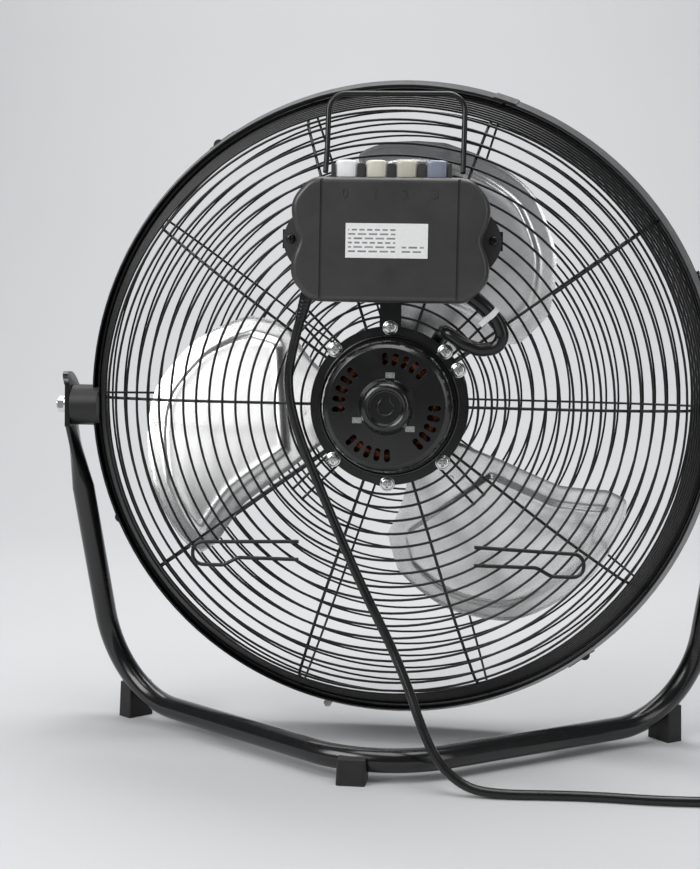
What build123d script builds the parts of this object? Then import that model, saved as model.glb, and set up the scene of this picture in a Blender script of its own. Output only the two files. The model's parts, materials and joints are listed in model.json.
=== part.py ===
"""Metal high-velocity floor fan: U-shaped tube stand, tilting caged head, motor, blades, key switch box.

Millimetres, +Z up, the air leaves towards -Y. The origin is on the floor under the middle of the fan.
"""
from build123d import *
import math
import os

os.makedirs("parts", exist_ok=True)

# ---- driving dimensions -------------------------------------------------------------------
HEAD_Z = 290.0            # height of the blade axis
PIVOT_Y = -35.5           # the tilt axis, so that the fan is centred on the origin
PIVOT_Z = 280.5           # the tilt axis is a little below the blade axis
TUBE_R = 9.5              # 19 mm stand tube
TUBE_WALL = 1.4
RIM_R = 271.5             # outside of the rim band
BAND_WALL = 1.2
STUD_R = 4.0              # M8 pivot studs
PLATE_X = 284.0           # middle of the flattened tube ends
PLATE_T = 4.4
FLANGE_Y = 89.0           # rear face of the motor flange, from the tilt axis
SCREW_CIRCLE_R = 61.6     # motor screws
SHAFT_R = 4.0
SPOKES = 10
REAR_RING_R = 1.0
REAR_SPOKE_R = 1.2
FRONT_RING_R = 0.9
FRONT_SPOKE_R = 1.0
WELD_GAP = 0.05           # left between crossing wires
CORD_R = 3.7

REAR = Plane(origin=(0, PIVOT_Y, HEAD_Z), x_dir=(-1, 0, 0), z_dir=(0, 1, 0))
AXIAL = Plane(origin=(0, PIVOT_Y, HEAD_Z), x_dir=(1, 0, 0), z_dir=(0, 0, 1))
SPIN = Axis((0, PIVOT_Y, HEAD_Z), (0, 1, 0))


def save(piece, name):
    """Label one finished sub-part and write its STEP file."""
    piece.part.label = name
    export_step(piece.part, f"parts/{name}.step")


def at(x, y, z):
    """A point given from the tilt plane (y) and the floor (z)."""
    return (x, PIVOT_Y + y, z)


def polar(radius, degrees):
    """A point of the head seen from behind, x to the right and y up."""
    return (radius * math.cos(math.radians(degrees)), radius * math.sin(math.radians(degrees)))


def turned(shape, degrees):
    """The shape turned about the blade axis, anticlockwise as seen from behind."""
    return shape.rotate(SPIN, degrees)


def ring_solid(outline, arc=360.0):
    """A body of revolution about the blade axis from (radius, y) corner points."""
    with BuildPart() as piece:
        with BuildSketch(AXIAL):
            with BuildLine():
                Polyline(*outline, close=True)
            make_face()
        revolve(axis=SPIN, revolution_arc=arc)
    return piece


# ---- stand ----------------------------------------------------------------------------------
CORNER = (254.0, -53.2, 16.0)      # where a leg would meet the base
APEX_Y = 150.0                     # where the two base runs would meet
CORNER_BEND = 75.0
APEX_BEND = 85.0
LEG_TOP = (283.5, 0.0, 262.0)      # bottom of the flattened end
ROUND_SHARE = 0.78                 # share of the leg that keeps its round section
PLATE_TOP_Z = 309.0
PLATE_W = 28.0
PLATE_LEAN = 4.0                   # the tip bends away from the rim

leg_round = [CORNER[i] + ROUND_SHARE * (LEG_TOP[i] - CORNER[i]) for i in range(3)]
tube_corners = [
    at(*leg_round),
    at(*CORNER),
    at(0, APEX_Y, CORNER[2]),
    at(-CORNER[0], CORNER[1], CORNER[2]),
    at(-leg_round[0], leg_round[1], leg_round[2]),
]


def stand_bar(inner):
    """The bent tube without its flattened ends, solid when inner is zero."""
    with BuildPart() as bar:
        with BuildLine() as path:
            FilletPolyline(*tube_corners, radius=[CORNER_BEND, APEX_BEND, CORNER_BEND])
        with BuildSketch(Plane(origin=path.line @ 0, z_dir=path.line % 0)):
            Circle(TUBE_R)
            if inner:
                Circle(inner, mode=Mode.SUBTRACT)
        sweep()
    return bar


tube_envelope = stand_bar(0)

with BuildPart() as flat_end:
    with BuildSketch(Plane.XZ.offset(-PIVOT_Y)):
        with BuildLine():
            Polyline(
                (PLATE_X - PLATE_T / 2, LEG_TOP[2]),
                (PLATE_X + PLATE_T / 2, LEG_TOP[2]),
                (PLATE_X + PLATE_T / 2, 297),
                (PLATE_X + PLATE_T / 2 + PLATE_LEAN, PLATE_TOP_Z),
                (PLATE_X - PLATE_T / 2 + PLATE_LEAN, PLATE_TOP_Z),
                (PLATE_X - PLATE_T / 2, 297.6),
                close=True,
            )
        make_face()
    extrude(amount=PLATE_W / 2, both=True)
    with BuildSketch(Plane.YZ.offset(PLATE_X - 20)):
        with Locations((PIVOT_Y, (LEG_TOP[2] + PLATE_TOP_Z) / 2 - 10)):
            Rectangle(PLATE_W, PLATE_TOP_Z - LEG_TOP[2] + 20)
    extrude(amount=40, mode=Mode.INTERSECT)
    edges_up = edges().filter_by(Axis.X, tolerance=15).sort_by(Axis.Z)[-2:]
    fillet(edges_up, 11)
    leg_along = [LEG_TOP[i] - CORNER[i] for i in range(3)]
    with BuildSketch(Plane(origin=at(*leg_round), x_dir=(1, 0, 0), z_dir=leg_along)):
        Circle(TUBE_R)
    with BuildSketch(Plane(origin=at(PLATE_X, 0, LEG_TOP[2]))):
        RectangleRounded(PLATE_T, PLATE_W, PLATE_T / 2 - 0.1)
    loft()
    with Locations(Plane(origin=at(PLATE_X, 0, PIVOT_Z), z_dir=(1, 0, 0))):
        Hole(STUD_R + 0.05, depth=20)

with BuildPart() as stand_tube:
    add(stand_bar(TUBE_R - TUBE_WALL).part)
    add(flat_end.part)
    add(flat_end.part.mirror(Plane.YZ))
save(stand_tube, "stand_tube")

FRONT_FOOT = (235.0, -38.0)
FOOT_SIZE = (26.0, 17.0, 31.0)

with BuildPart() as one_front_foot:
    with BuildSketch(Plane(origin=at(*FRONT_FOOT, 0), x_dir=(-CORNER[0], APEX_Y - CORNER[1], 0))):
        RectangleRounded(FOOT_SIZE[1], FOOT_SIZE[0], 2)
    extrude(amount=FOOT_SIZE[2], taper=2)
    add(tube_envelope.part, mode=Mode.SUBTRACT)

with BuildPart() as feet_front:
    add(one_front_foot.part)
    add(one_front_foot.part.mirror(Plane.YZ))
save(feet_front, "feet_front")

with BuildPart() as foot_rear:
    with BuildSketch(Plane(origin=at(19, 131.5, 0))):
        RectangleRounded(23, 27, 2.5)
    extrude(amount=20, taper=2)
    add(tube_envelope.part, mode=Mode.SUBTRACT)
save(foot_rear, "foot_rear")

# ---- rim band -----------------------------------------------------------------------------------
BAND_FRONT_Y = -48.0
BAND_WIDEST_Y = -19.0
BAND_REAR_Y = 8.0
BAND_REAR_R = 263.6
band_outside = [
    (RIM_R - 5, BAND_FRONT_Y),
    (RIM_R - 1.5, BAND_FRONT_Y),
    (RIM_R, BAND_FRONT_Y + 1.5),
    (RIM_R, BAND_WIDEST_Y),
    (BAND_REAR_R, BAND_REAR_Y),
]
band_inside = [
    (BAND_REAR_R - BAND_WALL, BAND_REAR_Y - 0.4),
    (RIM_R - BAND_WALL, BAND_WIDEST_Y - 0.2),
    (RIM_R - BAND_WALL, BAND_FRONT_Y + BAND_WALL),
    (RIM_R - 5, BAND_FRONT_Y + BAND_WALL),
]
band_envelope = ring_solid([(0, BAND_FRONT_Y)] + band_outside[1:] + [(0, BAND_REAR_Y)])
STUD_LINE = Plane(origin=at(0, 0, PIVOT_Z), z_dir=(1, 0, 0))

with BuildPart() as rim_band:
    add(ring_solid(band_outside + band_inside).part)
    with BuildSketch(STUD_LINE):
        Circle(STUD_R)
    extrude(amount=300, both=True, mode=Mode.SUBTRACT)
save(rim_band, "rim_band")

STRAP_T = 0.9
STRAP_ARC = 4.3
strap_outline = [
    (RIM_R, BAND_FRONT_Y + 1.6),
    (RIM_R + STRAP_T, BAND_FRONT_Y + 1.6),
    (RIM_R + STRAP_T, BAND_WIDEST_Y + 0.2),
    (BAND_REAR_R + STRAP_T, BAND_REAR_Y + 0.2),
    (BAND_REAR_R, BAND_REAR_Y),
    (RIM_R, BAND_WIDEST_Y),
]
with BuildPart() as band_joint_plate:
    add(turned(ring_solid(strap_outline, STRAP_ARC).part, 71.5 - 180 - STRAP_ARC / 2))
save(band_joint_plate, "band_joint_plate")

LOCK_ANGLE = 258.0
LOCK_R = 266.4
with BuildPart() as guard_lock_screw:
    with BuildSketch(REAR.offset(-16)):
        with Locations(polar(LOCK_R, LOCK_ANGLE)):
            Circle(1.5)
    extrude(amount=21)
    with BuildSketch(REAR.offset(3)):
        with Locations(polar(LOCK_R, LOCK_ANGLE)):
            RegularPolygon(3.7, 6)
    extrude(amount=3)
    add(band_envelope.part, mode=Mode.SUBTRACT)
save(guard_lock_screw, "guard_lock_screw")

# ---- pivots ------------------------------------------------------------------------------------
SPACER_R = 17.5
SPACER_END_X = PLATE_X - PLATE_T / 2 - 0.3
WASHER_X = PLATE_X + PLATE_T / 2 + 0.15
WASHER_T = 3.0
NUT_T = 6.0
SPACER_START_X = 257.5
STUD_END_X = 297.0
STUD_START_X = 262.4
SIDES = (1, -1)

with BuildPart() as pivot_studs:
    for sign in SIDES:
        with BuildSketch(Plane(origin=at(sign * STUD_START_X, 0, PIVOT_Z), z_dir=(sign, 0, 0))):
            Circle(STUD_R)
        extrude(amount=STUD_END_X - STUD_START_X)
save(pivot_studs, "pivot_studs")

with BuildPart() as pivot_spacers:
    for sign in SIDES:
        with BuildSketch(Plane(origin=at(sign * SPACER_START_X, 0, PIVOT_Z), z_dir=(sign, 0, 0))):
            Circle(SPACER_R)
            Circle(STUD_R, mode=Mode.SUBTRACT)
        extrude(amount=SPACER_END_X - SPACER_START_X)
    add(band_envelope.part, mode=Mode.SUBTRACT)
save(pivot_spacers, "pivot_spacers")

with BuildPart() as pivot_washers:
    for sign in SIDES:
        with BuildSketch(Plane(origin=at(sign * WASHER_X, 0, PIVOT_Z), z_dir=(sign, 0, 0))):
            Circle(8.5)
            Circle(STUD_R, mode=Mode.SUBTRACT)
        extrude(amount=WASHER_T)
save(pivot_washers, "pivot_washers")

with BuildPart() as pivot_nuts:
    for sign in SIDES:
        with BuildSketch(Plane(origin=at(sign * (WASHER_X + WASHER_T), 0, PIVOT_Z), z_dir=(sign, 0, 0))):
            RegularPolygon(7.0, 6)
            Circle(STUD_R, mode=Mode.SUBTRACT)
        extrude(amount=NUT_T)
save(pivot_nuts, "pivot_nuts")

# ---- guards -------------------------------------------------------------------------------------
EDGE_RING_R = 2.25
REAR_EDGE = (RIM_R - BAND_WALL - EDGE_RING_R, -24.0)
FRONT_EDGE = (RIM_R - BAND_WALL - EDGE_RING_R, -33.0)
REAR_CORNERS = [(56.0, 83.6), (174.0, 85.2), (234.5, 60.0), (265.2, -27.0)]
REAR_BENDS = [150.0, 20.0]
FACE_PITCH = 10.6
SIDE_PITCH = 8.6
FACE_RINGS = 16
SIDE_RINGS = 10
FRONT_CORNERS = [(52.0, -70.5), (150.0, -66.5), (222.0, -53.0), (265.0, -33.0)]
FRONT_BENDS = [400.0, 250.0]
FRONT_PITCH = 10.6
FRONT_RINGS = 20


def wire_rings(corners, bends, starts, offset, wire_r):
    """Closed rings welded on one side of the radial wires at the given lengths along them."""
    with BuildLine() as radial:
        FilletPolyline(*corners, radius=bends)
    guide = radial.wires()[0]
    with BuildPart() as rings:
        with BuildSketch(AXIAL):
            for length in starts:
                spot = guide.position_at(length, position_mode=PositionMode.LENGTH)
                heading = guide.tangent_at(length, position_mode=PositionMode.LENGTH)
                with Locations((spot.X - heading.Y * offset, spot.Y + heading.X * offset)):
                    Circle(wire_r)
        revolve(axis=SPIN)
    return rings


def radial_wires(corners, bends, wire_r):
    """The radial wires of one guard."""
    with BuildPart() as wire:
        with BuildLine(AXIAL) as path:
            FilletPolyline(*corners, radius=bends)
        with BuildSketch(Plane(origin=path.line @ 0, z_dir=path.line % 0)):
            Circle(wire_r)
        sweep()
    with BuildPart() as wires:
        for k in range(SPOKES):
            add(turned(wire.part, k * 360 / SPOKES))
    return wires


rear_offset = REAR_SPOKE_R + REAR_RING_R + WELD_GAP
face_starts = [14.5 + FACE_PITCH * k for k in range(FACE_RINGS)]
rear_guard_face_rings = wire_rings(REAR_CORNERS, REAR_BENDS, face_starts, rear_offset, REAR_RING_R)
save(rear_guard_face_rings, "rear_guard_face_rings")

side_starts = [face_starts[-1] + SIDE_PITCH * (k + 1) for k in range(SIDE_RINGS)]
rear_guard_side_rings = wire_rings(REAR_CORNERS, REAR_BENDS, side_starts, rear_offset, REAR_RING_R)
save(rear_guard_side_rings, "rear_guard_side_rings")

front_guard_spokes = radial_wires(FRONT_CORNERS, FRONT_BENDS, FRONT_SPOKE_R)
save(front_guard_spokes, "front_guard_spokes")

front_offset = -(FRONT_SPOKE_R + FRONT_RING_R + WELD_GAP)
front_starts = [9 + FRONT_PITCH * k for k in range(FRONT_RINGS)]
front_guard_rings = wire_rings(FRONT_CORNERS, FRONT_BENDS, front_starts, front_offset, FRONT_RING_R)
save(front_guard_rings, "front_guard_rings")

with BuildPart() as guard_edge_rings:
    with BuildSketch(AXIAL):
        with Locations(REAR_EDGE, FRONT_EDGE):
            Circle(EDGE_RING_R)
    revolve(axis=SPIN)
save(guard_edge_rings, "guard_edge_rings")

with BuildPart() as front_guard_disc:
    add(ring_solid([(0, -74), (46, -73.3), (56, -72.6), (56, -71.75), (46, -72.4), (0, -73.1)]).part)
save(front_guard_disc, "front_guard_disc")

# Short wires that stiffen the face beside the four diagonal motor screws.
STIFFENER_R = 1.05
STIFFENER_LENGTH = 46.0
with BuildPart() as rear_guard_spokes:
    add(radial_wires(REAR_CORNERS, REAR_BENDS, REAR_SPOKE_R).part)
    for screw_angle in (45, 135, 225, 315):
        across = math.radians(screw_angle)
        outward = REAR.x_dir * math.cos(across) + REAR.y_dir * math.sin(across)
        sideways = REAR.y_dir * math.cos(across) - REAR.x_dir * math.sin(across)
        for side in (-5.5, 5.5):
            start = REAR.origin + outward * (SCREW_CIRCLE_R - 4) + sideways * side + REAR.z_dir * 83.8
            with BuildSketch(Plane(origin=start, z_dir=outward)):
                Circle(STIFFENER_R)
            extrude(amount=STIFFENER_LENGTH)
save(rear_guard_spokes, "rear_guard_spokes")

# ---- handle and cord hooks ------------------------------------------------------------------
HANDLE_R = 2.15
HANDLE_X = 54.0
HOOK_R = 1.5
HOOK_Y = 90.05


def bent_wire(points, bends, wire_r):
    """A round wire through head points (x, y up from the axis, depth from the tilt plane)."""
    places = [REAR.from_local_coords(Vector(*p)) for p in points]
    with BuildPart() as wire:
        with BuildLine() as path:
            FilletPolyline(*places, radius=bends)
        with BuildSketch(Plane(origin=path.line @ 0, z_dir=path.line % 0)):
            Circle(wire_r)
        sweep()
    return wire


handle_side = [(HANDLE_X, 183, 84.8), (HANDLE_X, 205, 76.2), (HANDLE_X, 246, 71.6)]
handle_points = handle_side + [(-x, y, z) for x, y, z in reversed(handle_side)]
with BuildPart() as carry_handle:
    add(bent_wire(handle_points, [30, 14, 14, 30], HANDLE_R).part)
save(carry_handle, "carry_handle")

hook_points = [
    (70, -110, HOOK_Y),
    (156, -113, HOOK_Y),
    (156, -131, HOOK_Y),
    (131, -131, HOOK_Y),
    (119, -124.5, HOOK_Y),
    (70, -124.5, HOOK_Y),
]
with BuildPart() as cord_hooks:
    for sign in (1, -1):
        mirrored = [(sign * x, y, z) for x, y, z in hook_points]
        add(bent_wire(mirrored, [8.5, 8.5, 9, 9], HOOK_R).part)
save(cord_hooks, "cord_hooks")

# ---- motor ---------------------------------------------------------------------------------------
FLANGE_T = 2.5
MOUNT_T = 1.5
EAR_R = 6.0
SCREW_R = 2.0
SCREW_ANGLES = (90, 135, 45, 225, 315, 270, 28.5)
COVER_R = 53.0
STATOR_R = 49.2
ROTOR_R = 29.0
FRONT_OF_MOTOR = 44.0
BEARING_R = 9.5
BEAD_R = 54.9


def eared_ring(inner, outer, rear_y, thickness):
    """A flat ring with an ear and a hole at every motor screw."""
    with BuildPart() as ring:
        with BuildSketch(REAR.offset(rear_y - thickness)):
            Circle(outer)
            for angle in SCREW_ANGLES:
                with Locations(polar(SCREW_CIRCLE_R, angle)):
                    Circle(EAR_R)
            Circle(inner, mode=Mode.SUBTRACT)
            for angle in SCREW_ANGLES:
                with Locations(polar(SCREW_CIRCLE_R, angle)):
                    Circle(SCREW_R, mode=Mode.SUBTRACT)
        extrude(amount=thickness)
    return ring


with BuildPart() as motor_mount_ring:
    add(eared_ring(50.5, 63.0, FLANGE_Y - FLANGE_T, MOUNT_T).part)
save(motor_mount_ring, "motor_mount_ring")

with BuildPart() as motor_flange:
    add(eared_ring(STATOR_R, 61.0, FLANGE_Y, FLANGE_T).part)
    with BuildSketch(AXIAL):
        with Locations((BEAD_R, FLANGE_Y - 0.2)):
            Circle(1.3)
    revolve(axis=SPIN)
save(motor_flange, "motor_flange")

rear_cover_outline = [
    (COVER_R, FLANGE_Y), (51.5, 104), (49.5, 108), (46, 110.5), (22, 111.5), (20.8, 113.5), (19.5, 117),
    (17.5, 119.2), (15.5, 120), (13.8, 119.2), (12.8, 117.6), (12, 117.5), (0, 117.5), (0, 116), (BEARING_R, 116), (BEARING_R, 107), (11.2, 107), (11.2, 110),
    (45.3, 109.2), (48.4, 107), (50.2, 103.6), (51.6, FLANGE_Y),
]
SLOT_GROUPS = (68.6, 159.5, 248.0, 336.0)
SLOT_PITCH = 12.0
with BuildPart() as motor_rear_cover:
    add(ring_solid(rear_cover_outline).part)
    with BuildSketch(REAR.offset(105)):
        for group in SLOT_GROUPS:
            for k in range(-2, 3):
                angle = group + SLOT_PITCH * k
                with Locations(Location((*polar(37.5, angle), 0), (0, 0, angle))):
                    SlotOverall(10, 4.4)
    extrude(amount=8, mode=Mode.SUBTRACT)
save(motor_rear_cover, "motor_rear_cover")

with BuildPart() as cover_tabs:
    with BuildSketch(REAR.offset(111.2)):
        for angle in (84, 205, 319):
            with Locations(polar(25, angle)):
                Rectangle(7.3, 4.4)
    extrude(amount=1.0)
    add(motor_rear_cover.part, mode=Mode.SUBTRACT)
save(cover_tabs, "cover_tabs")

front_cover_outline = [
    (50.5, FLANGE_Y - FLANGE_T), (50.5, 57), (46, 50), (12, 50), (12, FRONT_OF_MOTOR), (4.8, FRONT_OF_MOTOR),
    (4.8, 45.5), (BEARING_R, 45.5), (BEARING_R, 53), (12.5, 53), (12.5, 51.5), (45.3, 51.5), (49.2, 57.6),
    (49.2, FLANGE_Y - FLANGE_T),
]
with BuildPart() as motor_front_cover:
    add(ring_solid(front_cover_outline).part)
save(motor_front_cover, "motor_front_cover")

with BuildPart() as stator_core:
    add(ring_solid([(ROTOR_R + 0.5, 62), (STATOR_R, 62), (STATOR_R, 92), (ROTOR_R + 0.5, 92)]).part)
save(stator_core, "stator_core")

with BuildPart() as stator_windings:
    for low, high in ((54, 62), (92, 102)):
        middle = (low + high) / 2
        with BuildSketch(AXIAL):
            with Locations((38, middle)):
                RectangleRounded(13, high - low, 3)
        revolve(axis=SPIN)
save(stator_windings, "stator_windings")

with BuildPart() as motor_bearings:
    for low, high in ((45.5, 52.5), (107.5, 114.5)):
        add(ring_solid([(SHAFT_R + 0.05, low), (BEARING_R, low), (BEARING_R, high), (SHAFT_R + 0.05, high)]).part)
save(motor_bearings, "motor_bearings")

with BuildPart() as motor_screws:
    for angle in SCREW_ANGLES:
        seat = FLANGE_Y + (1.5 if angle == 90 else 0)
        with BuildSketch(REAR.offset(seat - 7)):
            with Locations(polar(SCREW_CIRCLE_R, angle)):
                Circle(SCREW_R)
        extrude(amount=7)
        with BuildSketch(REAR.offset(seat)):
            with Locations(polar(SCREW_CIRCLE_R, angle)):
                Circle(5.2)
        extrude(amount=3, taper=22)
save(motor_screws, "motor_screws")

# ---- rotor ------------------------------------------------------------------------------------
BLADES = 3
BLADE_T = 1.2
BLADE_ANGLE = 187.0
HUB_COLLAR_R = 9.0

with BuildPart() as rotor_core:
    add(ring_solid([(SHAFT_R, 63), (ROTOR_R, 63), (ROTOR_R, 91), (SHAFT_R, 91)]).part)
save(rotor_core, "rotor_core")

with BuildPart() as motor_shaft:
    with BuildSketch(REAR.offset(4)):
        Circle(SHAFT_R)
    extrude(amount=111)
save(motor_shaft, "motor_shaft")


def cambered_plate(behind, thickness):
    """The blade's arched section, a thickness of it starting behind its front face."""
    along = math.radians(BLADE_ANGLE)
    outward = REAR.x_dir * math.cos(along) + REAR.y_dir * math.sin(along)
    forward = REAR.y_dir * math.cos(along) - REAR.x_dir * math.sin(along)
    with BuildPart() as plate:
        with BuildSketch(Plane(origin=REAR.origin, x_dir=forward, z_dir=outward)):
            with BuildLine():
                near = ThreePointArc((-94, -6 + behind), (12, 30 + behind), (118, 52 + behind))
                far = ThreePointArc(
                    (-94, -6 + behind + thickness),
                    (12, 30 + behind + thickness),
                    (118, 52 + behind + thickness),
                )
                Line(near @ 0, far @ 0)
                Line(near @ 1, far @ 1)
            make_face()
        extrude(amount=225)
    return plate


RIVETS = ((60, 176), (60, 198), (78, 187))
with BuildPart() as rivet_holes:
    with BuildSketch(REAR.offset(5)):
        for radius, angle in RIVETS:
            with Locations(polar(radius, angle)):
                Circle(2.4)
    extrude(amount=45)

with BuildPart() as first_blade:
    add(cambered_plate(0, BLADE_T).part)
    with BuildSketch(REAR.offset(-20)):
        with BuildLine():
            leading = Spline(*[polar(r, a) for r, a in ((50, 209), (100, 213.5), (150, 215), (187, 219.5))])
            tip_start = polar(205, 219.5)
            tip_end = polar(206, 178)
            swept = TangentArc(leading @ 1, tip_start, tangent=leading % 1)
            ThreePointArc(tip_start, polar(215, 200), tip_end)
            trailing = Spline(tip_end, *[polar(r, a) for r, a in ((180, 164), (145, 151), (112, 146.5), (62, 160))])
            ThreePointArc(trailing @ 1, polar(50, 184), leading @ 0)
        make_face()
    extrude(amount=100, mode=Mode.INTERSECT)
    add(rivet_holes.part, mode=Mode.SUBTRACT)

for k in range(BLADES):
    with BuildPart() as blade:
        add(turned(first_blade.part, k * 360 / BLADES))
    save(blade, f"blade_{k + 1}")

with BuildPart() as blade_pad:
    add(cambered_plate(-2.0, 2.0).part)
    with BuildSketch(REAR.offset(-20)):
        with BuildLine():
            arc_out = ThreePointArc(polar(84, 178), polar(88, 187), polar(84, 196))
            arc_in = ThreePointArc(polar(22, 150), polar(22, 187), polar(22, 224))
            Line(arc_out @ 0, arc_in @ 0)
            Line(arc_out @ 1, arc_in @ 1)
        make_face()
    extrude(amount=100, mode=Mode.INTERSECT)
    add(rivet_holes.part, mode=Mode.SUBTRACT)

with BuildPart() as blade_hub:
    for k in range(BLADES):
        add(turned(blade_pad.part, k * 360 / BLADES))
    add(ring_solid([(SHAFT_R, 14), (HUB_COLLAR_R, 14), (HUB_COLLAR_R, 24), (34, 22), (34, 27), (HUB_COLLAR_R, 27),
                    (HUB_COLLAR_R, 40), (SHAFT_R, 40)]).part)
save(blade_hub, "blade_hub")

with BuildPart() as rivet_set:
    add(cambered_plate(-3.2, BLADE_T + 4.4).part)
    add(rivet_holes.part, mode=Mode.INTERSECT)

with BuildPart() as blade_rivets:
    for k in range(BLADES):
        add(turned(rivet_set.part, k * 360 / BLADES))
save(blade_rivets, "blade_rivets")

with BuildPart() as hub_nut:
    with BuildSketch(REAR.offset(3)):
        RegularPolygon(12, 6)
        Circle(SHAFT_R, mode=Mode.SUBTRACT)
    extrude(amount=11)
save(hub_nut, "hub_nut")

# ---- switch box ------------------------------------------------------------------------------
BOX_LOW = 81.0
BOX_HIGH = 177.0
BOX_MID = (BOX_LOW + BOX_HIGH) / 2
BOX_HALF_W = 76.7
CENTRE_HALF_W = 53.0
BRACKET_Y = 89.0
BRACKET_T = 1.5
BASE_Y = BRACKET_Y + BRACKET_T
BASE_T = 2.5
COVER_Y = BASE_Y + BASE_T
BOX_REAR_Y = 114.0
BOX_WALL = 2.0
EAR_SCREW_X = 79.5
KEY_PITCH = 23.3
KEY_W = 17.2
KEY_DEPTH = 10.0
KEY_Y = 103.0
KEY_TOP = 190.5
KEY_BOTTOM = 171.0
KEY_TRAVEL = 5.0
KEY_GAP = 0.3
key_centres = [(k - 1.5) * KEY_PITCH for k in range(4)]

with BuildPart() as box_bracket:
    with BuildSketch(REAR.offset(BRACKET_Y)):
        with Locations((0, SCREW_CIRCLE_R + 39)):
            Rectangle(17, 78)
        with Locations((0, BOX_MID + 1)):
            Rectangle(2 * EAR_SCREW_X + 14, 15)
        with Locations((0, SCREW_CIRCLE_R)):
            Circle(5.3)
            Circle(SCREW_R, mode=Mode.SUBTRACT)
        with Locations((-EAR_SCREW_X, BOX_MID + 1), (EAR_SCREW_X, BOX_MID + 1)):
            Circle(1.6, mode=Mode.SUBTRACT)
    extrude(amount=BRACKET_T)
save(box_bracket, "box_bracket")


def box_outline(inset):
    """Half of the cover's outline with its wavy side, from the bottom middle to the top middle."""
    w = BOX_HALF_W - inset
    low = BOX_LOW + inset
    high = BOX_HIGH - inset
    bottom = Line((0, low), (CENTRE_HALF_W, low))
    corner_low = Spline((CENTRE_HALF_W, low), (w - 7, low + 9), (w, low + 25), tangents=((1, 0), (0, 1)))
    waist = Spline((w, low + 25), (w - 5.5, BOX_MID), (w, high - 25), tangents=((0, 1), (0, 1)))
    corner_high = Spline((w, high - 25), (w - 7, high - 9), (CENTRE_HALF_W, high), tangents=((0, 1), (-1, 0)))
    top = Line((CENTRE_HALF_W, high), (0, high))
    middle = Line((0, high), (0, low))
    return bottom, corner_low, waist, corner_high, top, middle


def box_solid(inset, from_y, to_y, corner):
    """A block with the cover's outline."""
    with BuildPart() as block:
        with BuildSketch(REAR.offset(from_y)) as outline:
            with BuildLine():
                box_outline(inset)
            make_face()
            mirror(about=Plane(REAR.offset(from_y).origin, z_dir=(1, 0, 0)))
        extrude(amount=to_y - from_y)
        if corner:
            fillet(faces().sort_by(Axis.Y)[-1].edges(), corner)
    return block


with BuildPart() as box_base:
    with BuildSketch(REAR.offset(BASE_Y)):
        with Locations((0, BOX_MID)):
            RectangleRounded(2 * BOX_HALF_W - 10, BOX_HIGH - BOX_LOW, 20)
            Ellipse(EAR_SCREW_X + 6, 46)
        with Locations((-EAR_SCREW_X, BOX_MID + 1), (EAR_SCREW_X, BOX_MID + 1)):
            Circle(1.6, mode=Mode.SUBTRACT)
    extrude(amount=BASE_T)
save(box_base, "box_base")

FRAME_W = 3 * KEY_PITCH + KEY_W + 7
with BuildPart() as cover_shell:
    add(box_solid(0, COVER_Y, BOX_REAR_Y, 5).part)
    add(box_solid(BOX_WALL, COVER_Y - 1, BOX_REAR_Y - BOX_WALL, 0).part, mode=Mode.SUBTRACT)
    with BuildSketch(REAR.offset(BOX_REAR_Y - 1.2)):
        for sign in (1, -1):
            with Locations((sign * CENTRE_HALF_W, BOX_MID)):
                Rectangle(2.2, BOX_HIGH - BOX_LOW + 10)
    extrude(amount=3, mode=Mode.SUBTRACT)
    with BuildSketch(Plane.XY.offset(HEAD_Z + BOX_HIGH - 6)):
        with Locations((0, PIVOT_Y + KEY_Y)):
            Rectangle(FRAME_W, KEY_DEPTH + 5)
    extrude(amount=12, mode=Mode.SUBTRACT)

with BuildPart() as key_frame:
    with BuildSketch(Plane.XY.offset(HEAD_Z + BOX_HIGH - 6)):
        with Locations((0, PIVOT_Y + KEY_Y)):
            Rectangle(FRAME_W, KEY_DEPTH + 5)
            with Locations(*[(x, 0) for x in key_centres]):
                Rectangle(KEY_W + 2 * KEY_GAP, KEY_DEPTH + 2 * KEY_GAP, mode=Mode.SUBTRACT)
    extrude(amount=6)
    with BuildSketch(Plane.XY.offset(HEAD_Z + BOX_HIGH)):
        with Locations((0, PIVOT_Y + KEY_Y)):
            Rectangle(FRAME_W - 1, KEY_DEPTH)
            with Locations(*[(x, 0) for x in key_centres]):
                Rectangle(KEY_W + 2 * KEY_GAP, KEY_DEPTH + 2, mode=Mode.SUBTRACT)
    extrude(amount=10.5)
save(key_frame, "key_frame")

for k, centre_x in enumerate(reversed(key_centres)):
    with BuildPart() as key:
        with BuildSketch(Plane(origin=at(centre_x, KEY_Y, HEAD_Z + KEY_BOTTOM))):
            RectangleRounded(KEY_W, KEY_DEPTH, 1.5)
        extrude(amount=KEY_TOP - KEY_BOTTOM)
        fillet(faces().sort_by(Axis.Z)[-1].edges(), 1.3)
    save(key, f"key_{k}")

with BuildPart() as switch_body:
    with BuildSketch(REAR.offset(COVER_Y)):
        with Locations((0, 150)):
            Rectangle(92, 30)
    extrude(amount=17)
save(switch_body, "switch_body")

with BuildPart() as run_capacitor:
    with BuildSketch(REAR.offset(COVER_Y)):
        with Locations((12, 106)):
            RectangleRounded(40, 22, 3)
    extrude(amount=16)
save(run_capacitor, "run_capacitor")

with BuildPart() as box_screws:
    for sign in (1, -1):
        with BuildSketch(REAR.offset(BRACKET_Y)):
            with Locations((sign * EAR_SCREW_X, BOX_MID + 1)):
                Circle(1.6)
        extrude(amount=BRACKET_T + BASE_T)
        with BuildSketch(REAR.offset(COVER_Y)):
            with Locations((sign * EAR_SCREW_X, BOX_MID + 1)):
                Circle(3.6)
        extrude(amount=2.2, taper=15)
    add(cover_shell.part, mode=Mode.SUBTRACT)
save(box_screws, "box_screws")

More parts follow.
